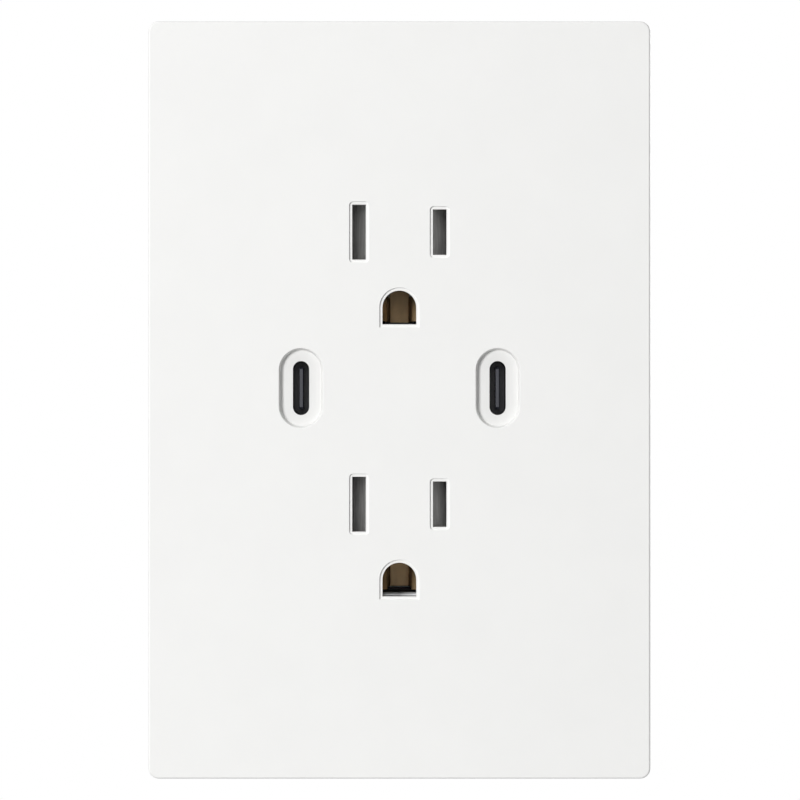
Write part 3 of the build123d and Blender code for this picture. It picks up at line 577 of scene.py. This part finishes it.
# Light, floor and camera
def lamp(name, spot, size, power, target=(0, 0, 0)):
    """A rectangular lamp that points at a target."""
    data = bpy.data.lights.new(name, "AREA")
    data.shape = "RECTANGLE"
    data.size, data.size_y = size
    data.energy = power
    made = bpy.data.objects.new(name, data)
    made.location = spot
    made.rotation_euler = (Vector(target) - spot).to_track_quat("-Z", "Y").to_euler()
    bpy.context.scene.collection.objects.link(made)


def white_world():
    """White to camera, mirrored and transmitted rays, and a softer fill for everything else."""
    world = bpy.data.worlds.new("studio")
    world.use_nodes = True
    fill = world.node_tree.nodes["Background"]
    shown = add_node(world, "ShaderNodeBackground")
    for shader, strength in ((fill, fill_strength), (shown, background_strength)):
        shader.inputs["Strength"].default_value = strength
        shader.inputs["Color"].default_value = (1, 1, 1, 1)
    rays = add_node(world, "ShaderNodeLightPath")
    direct = either(world, rays.outputs["Is Camera Ray"], rays.outputs["Is Glossy Ray"])
    mix = add_node(world, "ShaderNodeMixShader")
    link(world, either(world, direct, rays.outputs["Is Transmission Ray"]), mix.inputs["Fac"])
    link(world, fill.outputs["Background"], mix.inputs[1])
    link(world, shown.outputs["Background"], mix.inputs[2])
    link(world, mix.outputs["Shader"], world.node_tree.nodes["World Output"].inputs["Surface"])
    bpy.context.scene.world = world


def pale_material():
    """The floor's colour, which fades out toward its rim."""
    made, shader = new_material("floor_pale")
    shader.inputs["Roughness"].default_value = floor_roughness
    shader.inputs["Base Color"].default_value = (*floor_colour, 1)
    coordinate = add_node(made, "ShaderNodeTexCoord")
    distance = add_node(made, "ShaderNodeVectorMath", operation="LENGTH")
    link(made, coordinate.outputs["Object"], distance.inputs[0])
    fade = add_node(made, "ShaderNodeMapRange", interpolation_type="SMOOTHSTEP")
    fade.inputs["From Min"].default_value = floor_even_share * floor_radius
    fade.inputs["From Max"].default_value = floor_radius
    fade.inputs["To Min"].default_value = floor_cover
    fade.inputs["To Max"].default_value = 0.0
    link(made, distance.outputs["Value"], fade.inputs["Value"])
    link(made, fade.outputs["Result"], shader.inputs["Alpha"])
    return made


def pale_floor():
    """A round pale floor under the part."""
    shape = bmesh.new()
    bmesh.ops.create_circle(shape, cap_ends=True, segments=floor_segments, radius=floor_radius)
    mesh = bpy.data.meshes.new("floor")
    shape.to_mesh(mesh)
    shape.free()
    mesh.materials.append(pale_material())
    floor = bpy.data.objects.new("floor", mesh)
    floor.location.z = low.z - floor_drop
    bpy.context.scene.collection.objects.link(floor)


def photo_camera():
    """Straight on to the plate, as far off as the photograph was taken."""
    data = bpy.data.cameras.new("camera")
    data.sensor_width = sensor_width
    data.lens = sensor_width * camera_distance / view_width
    camera = bpy.data.objects.new("camera", data)
    middle = (low + high) / 2
    camera.location = (middle.x + camera_aside, low.y - camera_distance, middle.z)
    camera.rotation_euler = (math.pi / 2, 0, 0)
    bpy.context.scene.collection.objects.link(camera)
    bpy.context.scene.camera = camera


bpy.context.scene.view_settings.view_transform = "Standard"
white_world()
pale_floor()
photo_camera()
lamp("key", key_place, key_size, key_power)
lamp("top", top_place, top_size, top_power)
lamp("front", front_place, front_size, front_power, target=(0, 0, high.z / 2))
lamp("rear", rear_place, rear_size, rear_power)
